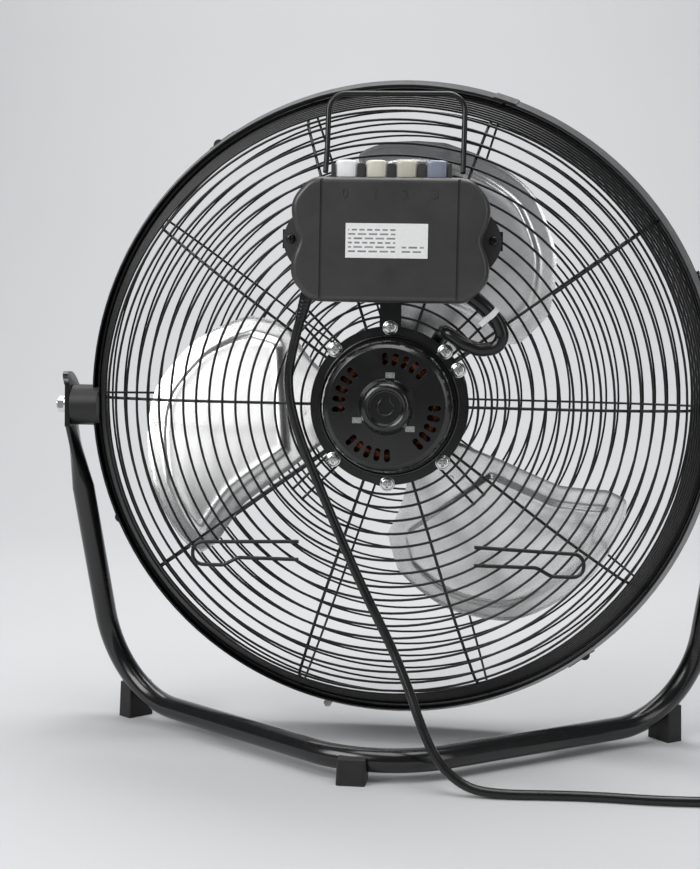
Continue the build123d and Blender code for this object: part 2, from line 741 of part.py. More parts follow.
with BuildPart() as rating_label:
    with BuildSketch(REAR.offset(BOX_REAR_Y)):
        with Locations((-2.0, 128)):
            Rectangle(63.5, 26.5)
    extrude(amount=0.25)
save(rating_label, "rating_label")

# ---- guard clips ----------------------------------------------------------------------------
CLIP_ANGLES = (126.0, 203.0, 306.0, 22.0)
CLIP_PIN = (RIM_R + 2.6, -41.0)
CLIP_PIN_R = 1.0
LEVER_HALF_W = 9.2
RAIL_HALF_W = 13.0
LEVER_REAR_Y = -27.0
CLIP_REST = 180.0


def axial_slab(points, low, high):
    """A slab cut from (radius, y) points, from low to high along the rim."""
    with BuildPart() as slab:
        with BuildSketch(AXIAL.offset(low)):
            with BuildLine():
                Polyline(*points, close=True)
            make_face()
        extrude(amount=high - low)
    return slab


def axial_bar(centre, radius, low, high):
    """A round bar along the rim."""
    with BuildPart() as bar:
        with BuildSketch(AXIAL.offset(low)):
            with Locations(centre):
                Circle(radius)
        extrude(amount=high - low)
    return bar


rail_points = [(RIM_R - 3, -46.2), (RIM_R + 4.6, -44.0), (RIM_R + 4.6, -39.5), (RIM_R + 2.4, -36.0),
               (RIM_R + 2.0, LEVER_REAR_Y), (RIM_R - 3, LEVER_REAR_Y)]
with BuildPart() as clip_base_one:
    for low, high in ((LEVER_HALF_W + 0.4, RAIL_HALF_W), (-RAIL_HALF_W, -LEVER_HALF_W - 0.4)):
        add(axial_slab(rail_points, low, high).part)
    add(axial_slab([(RIM_R - 3, -46.2), (RIM_R + 1.5, -46.2), (RIM_R + 1.5, -44), (RIM_R - 3, -44)],
                   -RAIL_HALF_W, RAIL_HALF_W).part)
    add(axial_bar(CLIP_PIN, CLIP_PIN_R, -RAIL_HALF_W, RAIL_HALF_W).part, mode=Mode.SUBTRACT)
    add(band_envelope.part, mode=Mode.SUBTRACT)

lever_points = [(RIM_R + 0.5, CLIP_PIN[1]), (RIM_R + 0.5, LEVER_REAR_Y), (RIM_R + 2.2, LEVER_REAR_Y),
                (RIM_R + 2.4, CLIP_PIN[1])]
with BuildPart() as clip_lever_one:
    add(axial_bar(CLIP_PIN, 2.0, -LEVER_HALF_W, LEVER_HALF_W).part)
    add(axial_slab(lever_points, -LEVER_HALF_W, LEVER_HALF_W).part)
    with BuildSketch(REAR.offset(-34)):
        with Locations((-(RIM_R + 0.6), -4.4)):
            Circle(4.6)
        with Locations((-(RIM_R - 2.5), -4.4)):
            Rectangle(6, 12, mode=Mode.SUBTRACT)
    extrude(amount=5)
    add(axial_bar(CLIP_PIN, CLIP_PIN_R + 0.05, -RAIL_HALF_W, RAIL_HALF_W).part, mode=Mode.SUBTRACT)

with BuildPart() as clip_bases:
    for angle in CLIP_ANGLES:
        add(turned(clip_base_one.part, angle - CLIP_REST))
save(clip_bases, "clip_bases")

with BuildPart() as clip_pins:
    for angle in CLIP_ANGLES:
        add(turned(axial_bar(CLIP_PIN, CLIP_PIN_R, -RAIL_HALF_W, RAIL_HALF_W).part, angle - CLIP_REST))
save(clip_pins, "clip_pins")

for k, angle in enumerate(CLIP_ANGLES):
    with BuildPart() as clip_lever:
        add(turned(clip_lever_one.part, angle - CLIP_REST))
    save(clip_lever, f"clip_lever_{k + 1}")

# ---- motor lead -----------------------------------------------------------------------------
SLEEVE_R = 5.4
sleeve_points = [
    (62, 88, 101), (74, 79, 99.5), (84, 68, 97), (88.5, 57, 96), (84, 47.5, 95.5), (71, 45.5, 95.5), (58, 50, 95.5),
    (45, 58.5, 93), (41, 59.5, 78), (32, 46, 70),
]
with BuildPart() as motor_lead_sleeve:
    add(bent_wire(sleeve_points, [30, 20, 9, 9, 14, 20, 7, 8], SLEEVE_R).part)
save(motor_lead_sleeve, "motor_lead_sleeve")

tie_at = REAR.from_local_coords(Vector(79, 73.5, 98.25))
tie_along = REAR.from_local_coords(Vector(84, 68, 97)) - REAR.from_local_coords(Vector(74, 79, 99.5))
with BuildPart() as cable_tie:
    with BuildSketch(Plane(origin=tie_at, x_dir=REAR.z_dir.cross(tie_along), z_dir=tie_along)):
        Circle(SLEEVE_R + 1.1)
        with Locations((0, SLEEVE_R + 1.6)):
            Rectangle(5, 3)
        with Locations((-5, SLEEVE_R + 0.6)):
            Rectangle(14, 1.1)
        Circle(SLEEVE_R, mode=Mode.SUBTRACT)
    extrude(amount=2.1, both=True)
save(cable_tie, "cable_tie")

# ---- power cord -------------------------------------------------------------------------------
RELIEF_LENGTH = 22.0
COIL_CENTRE = (-319.5, 87.0)
COIL_MID_R = 41.0
COIL_OUT_R = COIL_MID_R + 2 * CORD_R
COIL_IN_R = COIL_MID_R - 2 * CORD_R
COIL_HEIGHT = 4 * CORD_R
COIL_INSET = 0.1          # keeps the stub and the rise off the faces that they would only touch
ENTRY_ANGLE = 108.0
ENTRY_STUB = 28.0
entry_along = (-math.sin(math.radians(ENTRY_ANGLE)), math.cos(math.radians(ENTRY_ANGLE)))
entry_turn_r = COIL_MID_R + CORD_R
entry_touch = (
    COIL_CENTRE[0] + entry_turn_r * math.cos(math.radians(ENTRY_ANGLE)),
    COIL_CENTRE[1] + entry_turn_r * math.sin(math.radians(ENTRY_ANGLE)),
)
cord_end = (entry_touch[0] - ENTRY_STUB * entry_along[0], entry_touch[1] - ENTRY_STUB * entry_along[1], CORD_R)
cord_route = [
    (70.2, 100.6, 355.8),
    (76.5, 100.0, 332.0),
    (80.0, 99.0, 304.0),
    (71.5, 98.5, 268.0),
    (53.0, 99.0, 226.0),
    (33.0, 101.5, 181.0),
    (13.0, 107.5, 141.0),
    (-8.0, 118.0, 105.0),
    (-23.5, 131.5, 75.0),
    (-35.0, 143.5, 47.0),
    (-49.0, 151.5, 22.0),
    (-71.0, 156.5, 6.0),
    (-97.0, 158.0, 3.7),
    (-130.0, 154.0, 3.7),
    (-166.0, 151.5, 3.7),
    (-208.0, 154.0, 3.7),
    (-246.0, 152.0, 3.7),
    (-280.0, 146.2, 3.7),
    cord_end,
]


def corner_radii(points):
    """The largest easy radius at each corner: 0.45 of the shorter run over tan of half the turn."""
    places = [Vector(*p) for p in points]
    radii = []
    for before, corner, after in zip(places, places[1:], places[2:]):
        run_in = corner - before
        run_out = after - corner
        half_turn = math.radians(run_in.get_angle(run_out)) / 2
        radii.append(0.45 * min(run_in.length, run_out.length) / math.tan(half_turn))
    return radii


cord_radii = corner_radii(cord_route)
with BuildPart() as power_cord:
    with BuildLine() as cord_path:
        FilletPolyline(*[at(*p) for p in cord_route], radius=cord_radii)
    with BuildSketch(Plane(origin=cord_path.line @ 0, z_dir=cord_path.line % 0)):
        Circle(CORD_R)
    sweep()
save(power_cord, "power_cord")
cord_length = cord_path.wires()[0].length
print("cord radii", [round(r, 1) for r in cord_radii])
print("cord tube length", round(cord_length, 1))
print("volume over section times length", round(power_cord.part.volume / (math.pi * CORD_R**2 * cord_length), 4))

with BuildPart() as cord_relief:
    relief_along = (Vector(*cord_route[1]) - Vector(*cord_route[0])).normalized()
    relief_top = Vector(*cord_route[0]) - relief_along * RELIEF_LENGTH
    with BuildSketch(Plane(origin=at(*relief_top), z_dir=relief_along)):
        Circle(5.4)
    with BuildSketch(Plane(origin=at(*cord_route[0]), z_dir=relief_along)):
        Circle(4.2)
    loft()
save(cord_relief, "cord_relief")

with BuildPart() as box_cover:
    add(cover_shell.part)
    add(cord_relief.part, mode=Mode.SUBTRACT)
    add(motor_lead_sleeve.part, mode=Mode.SUBTRACT)
save(box_cover, "box_cover")

# The coil of put-away cord, with the last turn rising over it to the plug.
PLUG_Z = COIL_HEIGHT + 9.0
PLUG_LINE_Y = 30.0
plug_rise = [
    (entry_turn_r, -16, 10.5), (entry_turn_r - 0.7, 8, 14), (37, 24, 19), (24, PLUG_LINE_Y, PLUG_Z - 1.5),
    (10, PLUG_LINE_Y, PLUG_Z),
]
with BuildPart() as cord_coil:
    with BuildSketch(Plane(origin=at(*COIL_CENTRE, 0))):
        Circle(COIL_OUT_R)
        Circle(COIL_IN_R, mode=Mode.SUBTRACT)
    extrude(amount=COIL_HEIGHT)
    fillet(edges().filter_by(GeomType.CIRCLE), 3.2)
    with BuildSketch(Plane(origin=at(*cord_end), z_dir=(*entry_along, 0))):
        Circle(CORD_R - COIL_INSET)
    extrude(amount=ENTRY_STUB + 4)
    with BuildLine() as rise_path:
        FilletPolyline(*[at(COIL_CENTRE[0] + x, COIL_CENTRE[1] + y, z) for x, y, z in plug_rise], radius=[20, 16, 16])
    with BuildSketch(Plane(origin=rise_path.line @ 0, z_dir=rise_path.line % 0)):
        Circle(CORD_R - COIL_INSET)
    sweep(path=rise_path.line)
save(cord_coil, "cord_coil")

plug_nose = at(COIL_CENTRE[0] + 10, COIL_CENTRE[1] + PLUG_LINE_Y, PLUG_Z)
plug_frame = Plane(origin=plug_nose, x_dir=(0, 1, 0), z_dir=(-1, 0, 0))
with BuildPart() as mains_plug:
    with BuildSketch(plug_frame):
        Circle(4.6)
    with BuildSketch(plug_frame.offset(12)):
        Circle(5.6)
    loft()
    with BuildSketch(plug_frame.offset(12)):
        RectangleRounded(15, 13, 5)
    with BuildSketch(plug_frame.offset(24)):
        RectangleRounded(26, 17, 6)
    with BuildSketch(plug_frame.offset(38)):
        RectangleRounded(34, 18, 8)
    loft()
    with BuildSketch(plug_frame.offset(38)):
        with Locations((-9.5, 0), (9.5, 0)):
            Circle(2.4)
    extrude(amount=19)
save(mains_plug, "mains_plug")
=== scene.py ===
"""The looks of a metal high-velocity floor fan on its bent-tube stand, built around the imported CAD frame."""

import json
import math

import bmesh
import bpy
import numpy as np
from mathutils import Matrix, Vector


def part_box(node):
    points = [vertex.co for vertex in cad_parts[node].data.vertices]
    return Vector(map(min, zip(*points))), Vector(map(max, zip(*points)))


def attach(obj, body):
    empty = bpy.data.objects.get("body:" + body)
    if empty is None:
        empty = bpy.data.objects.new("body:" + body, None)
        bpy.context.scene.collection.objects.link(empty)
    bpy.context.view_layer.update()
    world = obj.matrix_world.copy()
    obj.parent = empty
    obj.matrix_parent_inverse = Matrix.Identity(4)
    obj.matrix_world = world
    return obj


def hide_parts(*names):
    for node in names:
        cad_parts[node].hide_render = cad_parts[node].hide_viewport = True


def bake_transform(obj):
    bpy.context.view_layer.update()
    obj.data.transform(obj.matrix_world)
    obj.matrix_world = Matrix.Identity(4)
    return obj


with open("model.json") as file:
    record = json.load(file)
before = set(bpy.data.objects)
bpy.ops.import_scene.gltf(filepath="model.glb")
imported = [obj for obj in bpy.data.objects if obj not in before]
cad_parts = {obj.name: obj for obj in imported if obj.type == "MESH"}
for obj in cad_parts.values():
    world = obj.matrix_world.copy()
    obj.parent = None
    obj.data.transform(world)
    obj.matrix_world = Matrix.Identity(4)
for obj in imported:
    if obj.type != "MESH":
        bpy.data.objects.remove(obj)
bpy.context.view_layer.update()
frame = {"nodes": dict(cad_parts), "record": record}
nodes = frame["nodes"]
MM = 0.001


def middle(node):
    """The middle of a CAD node's box."""
    low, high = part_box(node)
    return (low + high) / 2


AXIS_Z = middle("motor_shaft").z
PIVOT_Y = middle("pivot_studs").y
BEHIND = Vector((0, 1, 0))


def at(x, y, z):
    """A point in the row frame from millimetres, y counted from the tilt axis."""
    return Vector((x * MM, PIVOT_Y + y * MM, z * MM))


def head(x, y, depth):
    """A point of the head in millimetres from the blade axis, x to the right and y up as seen from behind."""
    return Vector((-x * MM, PIVOT_Y + depth * MM, AXIS_Z + y * MM))


def polar(radius, degrees):
    angle = math.radians(degrees)
    return radius * math.cos(angle), radius * math.sin(angle)


def smooth(value, low, high):
    """0 below low, 1 above high, and a soft step between them."""
    share = min(1.0, max(0.0, (value - low) / (high - low)))
    return share * share * (3 - 2 * share)


# ---- camera ----------------------------------------------------------------------------------
YAW, PITCH, ROLL = (math.radians(a) for a in (5.83, 3.92, 1.10))


def make_camera():
    data = bpy.data.cameras.new("camera")
    data.lens = 62.57
    data.sensor_width = 36
    data.shift_x = -0.02624
    forward = Vector((math.sin(YAW) * math.cos(PITCH), -math.cos(YAW) * math.cos(PITCH), -math.sin(PITCH)))
    right = forward.cross(Vector((0, 0, 1))).normalized()
    up = right.cross(forward)
    rolled_right = right * math.cos(ROLL) + up * math.sin(ROLL)
    rolled_up = up * math.cos(ROLL) - right * math.sin(ROLL)
    matrix = Matrix((rolled_right, rolled_up, -forward)).transposed().to_4x4()
    matrix.translation = at(-108.81, 1274.99, 348.79)
    camera = bpy.data.objects.new("camera", data)
    camera.matrix_world = matrix
    bpy.context.scene.collection.objects.link(camera)
    bpy.context.scene.camera = camera


make_camera()


# ---- materials -------------------------------------------------------------------------------
class Shading:
    """A material being built: short calls for the nodes that every finish here uses."""

    def __init__(self, name, roughness, metallic=0.0, coat=0.0, coat_roughness=0.1, specular=0.5, sheen=0.0):
        self.material = bpy.data.materials.new(name)
        self.material.use_nodes = True
        self.tree = self.material.node_tree
        self.shader = self.tree.nodes["Principled BSDF"]
        self.shader.inputs["Roughness"].default_value = roughness
        self.shader.inputs["Metallic"].default_value = metallic
        self.shader.inputs["Coat Weight"].default_value = coat
        self.shader.inputs["Coat Roughness"].default_value = coat_roughness
        self.shader.inputs["Specular IOR Level"].default_value = specular
        self.shader.inputs["Sheen Weight"].default_value = sheen
        self.place = self.node("ShaderNodeTexCoord").outputs["Object"]

    def node(self, kind, **settings):
        made = self.tree.nodes.new(kind)
        for key, value in settings.items():
            setattr(made, key, value)
        return made

    def feed(self, socket, value):
        if isinstance(value, bpy.types.NodeSocket):
            self.tree.links.new(value, socket)
        else:
            socket.default_value = value

    def math(self, operation, a, b=0.0, clamp=False):
        made = self.node("ShaderNodeMath", operation=operation, use_clamp=clamp)
        self.feed(made.inputs[0], a)
        self.feed(made.inputs[1], b)
        return made.outputs[0]

    def stretched(self, scale, rotation=(0, 0, 0)):
        made = self.node("ShaderNodeMapping")
        self.feed(made.inputs["Vector"], self.place)
        made.inputs["Scale"].default_value = scale
        made.inputs["Rotation"].default_value = rotation
        return made.outputs["Vector"]

    def noise(self, scale, detail=3.0, rough=0.5, vector=None, distortion=0.0):
        made = self.node("ShaderNodeTexNoise")
        self.feed(made.inputs["Vector"], vector or self.place)
        made.inputs["Scale"].default_value = scale
        made.inputs["Detail"].default_value = detail
        made.inputs["Roughness"].default_value = rough
        made.inputs["Distortion"].default_value = distortion
        return made.outputs["Fac"]

    def span(self, value, low, high, to_low, to_high):
        made = self.node("ShaderNodeMapRange")
        for socket, amount in zip(made.inputs, (value, low, high, to_low, to_high)):
            self.feed(socket, amount)
        return made.outputs["Result"]

    def blend(self, factor, a, b):
        made = self.node("ShaderNodeMix", data_type="RGBA")
        self.feed(made.inputs["Factor"], factor)
        self.feed(made.inputs["A"], (*a, 1) if isinstance(a, tuple) else a)
        self.feed(made.inputs["B"], (*b, 1) if isinstance(b, tuple) else b)
        return made.outputs["Result"]

    def upward(self):
        """1 on surfaces that face up, where dust settles."""
        normal = self.node("ShaderNodeNewGeometry").outputs["Normal"]
        parts = self.node("ShaderNodeSeparateXYZ")
        self.feed(parts.inputs[0], normal)
        return self.span(parts.outputs["Z"], 0.35, 1.0, 0.0, 1.0)

    def colour(self, value):
        self.feed(self.shader.inputs["Base Color"], value)

    def roughness(self, value):
        self.feed(self.shader.inputs["Roughness"], value)

    def bump(self, *layers):
        """Bump layers as (height, strength, distance in metres)."""
        normal = None
        for height, strength, distance in layers:
            made = self.node("ShaderNodeBump")
            made.inputs["Strength"].default_value = strength
            made.inputs["Distance"].default_value = distance
            self.feed(made.inputs["Height"], height)
            if normal:
                self.feed(made.inputs["Normal"], normal)
            normal = made.outputs["Normal"]
        self.feed(self.shader.inputs["Normal"], normal)


def shade(colour, factor):
    return tuple(c * factor for c in colour)


def enamel(name, colour, roughness, peel=0.35, coat=0.25, dust=0.05, chips=0.0):
    """Sprayed or powder-coated paint: orange peel, uneven gloss, a little dust, a few rubbed spots."""
    s = Shading(name, roughness, coat=coat, coat_roughness=0.12)
    cloud = s.noise(14, 4, 0.6)
    tone = s.blend(s.span(cloud, 0.3, 0.7, 0, 1), shade(colour, 0.8), shade(colour, 1.25))
    settled = s.math("MULTIPLY", s.upward(), s.span(s.noise(160, 5, 0.7), 0.45, 0.75, 0, dust))
    tone = s.blend(settled, tone, (0.34, 0.33, 0.31))
    rubbed = s.span(s.noise(55, 6, 0.75, distortion=1.2), 0.66, 0.72, 0, 1)
    if chips:
        tone = s.blend(s.math("MULTIPLY", rubbed, chips), tone, (0.12, 0.12, 0.125))
    s.colour(tone)
    gloss = s.span(s.noise(38, 5, 0.65), 0.3, 0.7, roughness - 0.05, roughness + 0.07)
    s.roughness(s.math("ADD", gloss, s.math("MULTIPLY", rubbed, 0.10), clamp=True))
    s.bump((s.noise(620, 2, 0.4), peel, 0.00012), (s.noise(2600, 2, 0.5), peel * 0.3, 0.00004))
    return s.material


def moulded(name, colour, roughness, grain=0.5, grain_scale=2300, coat=0.0, dust=0.05):
    """Spark-eroded moulded plastic: fine grain, soft flow marks and rubbed patches."""
    s = Shading(name, roughness, coat=coat, coat_roughness=0.08)
    cloud = s.noise(22, 4, 0.6, distortion=0.6)
    tone = s.blend(s.span(cloud, 0.3, 0.7, 0, 1), shade(colour, 0.86), shade(colour, 1.16))
    settled = s.math("MULTIPLY", s.upward(), s.span(s.noise(210, 5, 0.7), 0.45, 0.8, 0, dust))
    s.colour(s.blend(settled, tone, (0.36, 0.35, 0.33)))
    handled = s.noise(33, 5, 0.7, distortion=0.8)
    s.roughness(s.span(handled, 0.3, 0.72, roughness + 0.06, roughness - 0.08))
    cells = s.node("ShaderNodeTexVoronoi", feature="SMOOTH_F1")
    s.feed(cells.inputs["Vector"], s.place)
    cells.inputs["Scale"].default_value = grain_scale
    s.bump((cells.outputs["Distance"], grain, 0.00008), (s.noise(90, 3, 0.5), 0.12, 0.0004))
    return s.material


def metal(name, colour, roughness, streak=(1, 1, 1), streak_amount=0.08, spots=0.15, grain=0.15):
    """Bare or plated metal with drawn streaks and a faint uneven tarnish."""
    s = Shading(name, roughness, metallic=1.0)
    cloud = s.noise(60, 4, 0.6)
    tone = s.blend(s.span(cloud, 0.35, 0.7, 0, 1), shade(colour, 1.0), shade(colour, 1 - spots))
    s.colour(tone)
    lines = s.noise(700, 4, 0.6, vector=s.stretched(streak))
    s.roughness(s.span(lines, 0.3, 0.7, roughness - streak_amount, roughness + streak_amount))
    s.bump((lines, grain, 0.00006), (s.noise(180, 3, 0.5), grain * 0.5, 0.0002))
    return s.material


def rubber(name, colour, roughness, grain=0.35, grain_scale=1500):
    s = Shading(name, roughness, sheen=0.05)
    cloud = s.noise(45, 4, 0.6)
    tone = s.blend(s.span(cloud, 0.3, 0.7, 0, 1), shade(colour, 0.82), shade(colour, 1.2))
    settled = s.math("MULTIPLY", s.upward(), s.span(s.noise(240, 5, 0.7), 0.4, 0.8, 0, 0.10))
    s.colour(s.blend(s.math("MULTIPLY", settled, 0.4), tone, (0.33, 0.32, 0.30)))
    s.roughness(s.span(s.noise(70, 4, 0.6), 0.3, 0.7, roughness - 0.06, roughness + 0.08))
    s.bump((s.noise(grain_scale, 3, 0.6), grain, 0.00007), (s.noise(60, 2, 0.5), 0.15, 0.0003))
    return s.material


def blade_aluminium():
    """Aluminium sheet brushed in circles about the blade axis."""
    s = Shading("blade_aluminium", 0.24, metallic=0.95)
    parts = s.node("ShaderNodeSeparateXYZ")
    s.feed(parts.inputs[0], s.place)
    up = s.math("SUBTRACT", parts.outputs["Z"], AXIS_Z)
    radius = s.math("SQRT", s.math("ADD", s.math("POWER", parts.outputs["X"], 2), s.math("POWER", up, 2)))
    around = s.math("ARCTAN2", up, parts.outputs["X"])
    turned = s.node("ShaderNodeCombineXYZ")
    s.feed(turned.inputs[0], radius)
    s.feed(turned.inputs[1], s.math("MULTIPLY", around, 0.004))
    brushed = s.noise(2400, 3, 0.6, vector=turned.outputs[0])
    broad = s.noise(55, 2, 0.45, vector=turned.outputs[0])
    cloud = s.noise(11, 4, 0.6, distortion=0.7)
    tone = s.blend(s.span(cloud, 0.35, 0.7, 0, 1), (0.93, 0.93, 0.93), (0.90, 0.90, 0.895))
    s.colour(s.blend(s.span(broad, 0.40, 0.66, 0, 0.55), tone, (0.66, 0.66, 0.65)))
    s.roughness(s.math("ADD", s.span(brushed, 0.3, 0.7, 0.20, 0.25), s.span(cloud, 0.3, 0.7, -0.01, 0.02)))
    s.bump((brushed, 0.012, 0.00002), (s.noise(14, 1, 0.4), 0.02, 0.001))
    return s.material


def winding_copper():
    """Enamelled copper wire in bundles."""
    s = Shading("winding_copper", 0.36, metallic=0.7, coat=0.3)
    strands = s.node("ShaderNodeTexWave", wave_type="BANDS", bands_direction="Y")
    s.feed(strands.inputs["Vector"], s.place)
    strands.inputs["Scale"].default_value = 260
    strands.inputs["Distortion"].default_value = 5
    strands.inputs["Detail"].default_value = 2
    # the near-black between the copper strands is painted shade in the grooves between the wires
    s.colour(s.blend(strands.outputs["Fac"], (0.03, 0.010, 0.006), (0.30, 0.085, 0.035)))
    s.roughness(s.span(s.noise(300), 0.3, 0.7, 0.24, 0.42))
    s.bump((strands.outputs["Fac"], 0.6, 0.0003))
    return s.material


def label_paper():
    """A white printed label: plain grey bars where the lettering would be."""
    s = Shading("label_paper", 0.42, coat=0.2)
    low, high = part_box("rating_label")
    shift = s.node("ShaderNodeMapping")
    s.feed(shift.inputs["Vector"], s.place)
    shift.inputs["Location"].default_value = (-high.x, 0, -low.z)
    parts = s.node("ShaderNodeSeparateXYZ")
    s.feed(parts.inputs[0], shift.outputs["Vector"])
    across = s.math("MULTIPLY", parts.outputs["X"], -1.0)
    up = parts.outputs["Z"]
    flat = s.node("ShaderNodeCombineXYZ")
    s.feed(flat.inputs[0], across)
    s.feed(flat.inputs[1], up)
    bars = s.node("ShaderNodeTexBrick", offset=0.37, offset_frequency=2, squash=0.7, squash_frequency=3)
    s.feed(bars.inputs["Vector"], flat.outputs[0])
    bars.inputs["Scale"].default_value = 1.0
    bars.inputs["Color1"].default_value = (0.20, 0.20, 0.205, 1)
    bars.inputs["Color2"].default_value = (0.34, 0.34, 0.345, 1)
    bars.inputs["Mortar"].default_value = (0.86, 0.86, 0.855, 1)
    bars.inputs["Mortar Size"].default_value = 0.0011
    bars.inputs["Mortar Smooth"].default_value = 0.25
    bars.inputs["Brick Width"].default_value = 0.0085
    bars.inputs["Row Height"].default_value = 0.0033

    def between(value, start, end):
        return s.math("MULTIPLY", s.math("GREATER_THAN", value, start), s.math("LESS_THAN", value, end))

    left_block = s.math("MULTIPLY", between(across, 0.0020, 0.0385), between(up, 0.0028, 0.0238))
    foot_block = s.math("MULTIPLY", between(across, 0.0435, 0.0605), between(up, 0.0028, 0.0098))
    shown = s.math("ADD", left_block, foot_block, clamp=True)
    paper = s.blend(s.span(s.noise(400, 4, 0.6), 0.3, 0.7, 0, 1), (0.86, 0.86, 0.855), (0.80, 0.80, 0.795))
    s.colour(s.blend(shown, paper, bars.outputs["Color"]))
    s.roughness(s.span(s.noise(120), 0.3, 0.7, 0.36, 0.5))
    s.bump((s.noise(1800, 3, 0.6), 0.15, 0.00004), (s.noise(35, 2, 0.5), 0.2, 0.0004))
    return s.material


def key_gloss(name, colour):
    """Glossy moulded push key."""
    s = Shading(name, 0.16, coat=0.6, coat_roughness=0.05)
    cloud = s.noise(90, 3, 0.5)
    s.colour(s.blend(s.span(cloud, 0.3, 0.7, 0, 1), shade(colour, 0.93), shade(colour, 1.05)))
    s.roughness(s.span(s.noise(140, 4, 0.6), 0.3, 0.7, 0.12, 0.26))
    s.bump((s.noise(120, 2, 0.5), 0.15, 0.0002), (s.noise(2500, 2, 0.5), 0.08, 0.00003))
    return s.material


materials = {
    "stand_paint": enamel(
        "stand_paint", (0.004, 0.004, 0.0045), 0.22, peel=0.25, coat=0.4, dust=0.02, chips=0.10
    ),
    "foot_rubber": rubber("foot_rubber", (0.013, 0.012, 0.012), 0.60),
    "rim_paint": enamel(
        "rim_paint", (0.007, 0.0072, 0.008), 0.37, peel=0.3, coat=0.15, dust=0.03, chips=0.12
    ),
    "guard_paint": enamel("guard_paint", (0.0035, 0.0035, 0.0036), 0.33, peel=0.15, coat=0.1, dust=0.015),
    "badge_metal": enamel("badge_metal", (0.008, 0.008, 0.0085), 0.34),
    "zinc": metal("zinc", (0.80, 0.80, 0.79), 0.22, streak=(1, 0.1, 1), spots=0.15, grain=0.05),
    "clip_plastic": moulded("clip_plastic", (0.011, 0.011, 0.011), 0.46),
    "clip_steel": metal("clip_steel", (0.58, 0.58, 0.58), 0.32),
    "motor_paint": enamel("motor_paint", (0.0045, 0.0045, 0.0048), 0.24, peel=0.2, coat=0.4, dust=0.03),
    "core_steel": metal("core_steel", (0.36, 0.36, 0.37), 0.45, streak=(0.1, 6, 0.1), grain=0.6),
    "winding": winding_copper(),
    "bright_steel": metal("bright_steel", (0.62, 0.62, 0.62), 0.26, streak=(1, 0.1, 1)),
    "blade_aluminium": blade_aluminium(),
    "knob_plastic": moulded("knob_plastic", (0.028, 0.028, 0.028), 0.45),
    "box_plastic": moulded("box_plastic", (0.040, 0.039, 0.0385), 0.36, grain=0.35, coat=0.15, dust=0.03),
    "switch_plastic": moulded("switch_plastic", (0.11, 0.11, 0.11), 0.5),
    "screw_black": metal("screw_black", (0.055, 0.055, 0.057), 0.36),
    "label_paper": label_paper(),
    "sleeve_rubber": rubber("sleeve_rubber", (0.005, 0.005, 0.005), 0.22, grain=0.08),
    "tie_nylon": moulded("tie_nylon", (0.74, 0.75, 0.76), 0.32, grain=0.1, coat=0.3, dust=0.0),
    "cord_jacket": rubber("cord_jacket", (0.006, 0.006, 0.006), 0.26, grain=0.08),
    "plug_rubber": rubber("plug_rubber", (0.008, 0.008, 0.008), 0.40, grain=0.2),
    "key_white": key_gloss("key_white", (0.90, 0.91, 0.91)),
    "key_cream": key_gloss("key_cream", (0.66, 0.64, 0.55)),
    "key_beige": key_gloss("key_beige", (0.55, 0.52, 0.44)),
    "key_blue": key_gloss("key_blue", (0.23, 0.25, 0.32)),
}
node_slots = {part["node"]: part["material_slot"] for part in frame["record"]["subparts"]}
node_bodies = {node: body for body, names in frame["record"]["behaviour"]["bodies"].items() for node in names}
for name, obj in nodes.items():
    obj.data.materials.clear()
    obj.data.materials.append(materials[node_slots[name]])


# ---- mesh tools ------------------------------------------------------------------------------
def piece(name, points, faces, body, slot, replaces=(), sharp=35.0):
    """A new mesh piece in the row frame, shaded smooth except at its sharp edges."""
    mesh = bpy.data.meshes.new(name)
    mesh.from_pydata([tuple(p) for p in points], [], faces)
    finish_mesh(mesh, sharp)
    return placed(name, mesh, body, slot, replaces)


def finish_mesh(mesh, sharp):
    work = bmesh.new()
    work.from_mesh(mesh)
    bmesh.ops.recalc_face_normals(work, faces=work.faces)
    work.to_mesh(mesh)
    work.free()
    mesh.polygons.foreach_set("use_smooth", [True] * len(mesh.polygons))
    mesh.set_sharp_from_angle(angle=math.radians(sharp))


def placed(name, mesh, body, slot, replaces=()):
    mesh.materials.clear()
    mesh.materials.append(materials[slot])
    obj = bpy.data.objects.new(name, mesh)
    bpy.context.scene.collection.objects.link(obj)
    if body:
        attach(obj, body)
    if replaces:
        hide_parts(*replaces)
    return obj


def skin(rings, close=True):
    """Points and faces of a surface through rings of equal length, with its two ends closed."""
    count = len(rings[0])
    points = [p for ring in rings for p in ring]
    faces = []
    for row in range(len(rings) - 1):
        for k in range(count):
            a = row * count + k
            b = row * count + (k + 1) % count
            faces.append((a, b, b + count, a + count))
    if close:
        faces.append(tuple(range(count)))
        faces.append(tuple(range((len(rings) - 1) * count, len(rings) * count)))
    return points, faces


def joined(*solids):
    """Several (points, faces) solids as one."""
    points, faces = [], []
    for more_points, more_faces in solids:
        start = len(points)
        points += list(more_points)
        faces += [tuple(start + i for i in face) for face in more_faces]
    return points, faces


def carried_frames(path):
    """Two side directions at each point of a path, carried along it without twist."""
    steps = [(b - a).normalized() for a, b in zip(path, path[1:])]
    along = [steps[0]] + [(a + b).normalized() for a, b in zip(steps, steps[1:])] + [steps[-1]]
    side = along[0].orthogonal().normalized()
    frames = []
    for direction in along:
        side = (side - direction * side.dot(direction)).normalized()
        frames.append((side, direction.cross(side)))
    return frames


def tube(path, radii, sides=20):
    """A round tube along a path; radii is one number or one for each point."""
    if not hasattr(radii, "__len__"):
        radii = [radii] * len(path)
    turns = [2 * math.pi * k / sides for k in range(sides)]
    rings = [
        [point + (side * math.cos(t) + other * math.sin(t)) * radius for t in turns]
        for point, (side, other), radius in zip(path, carried_frames(path), radii)
    ]
    return skin(rings)


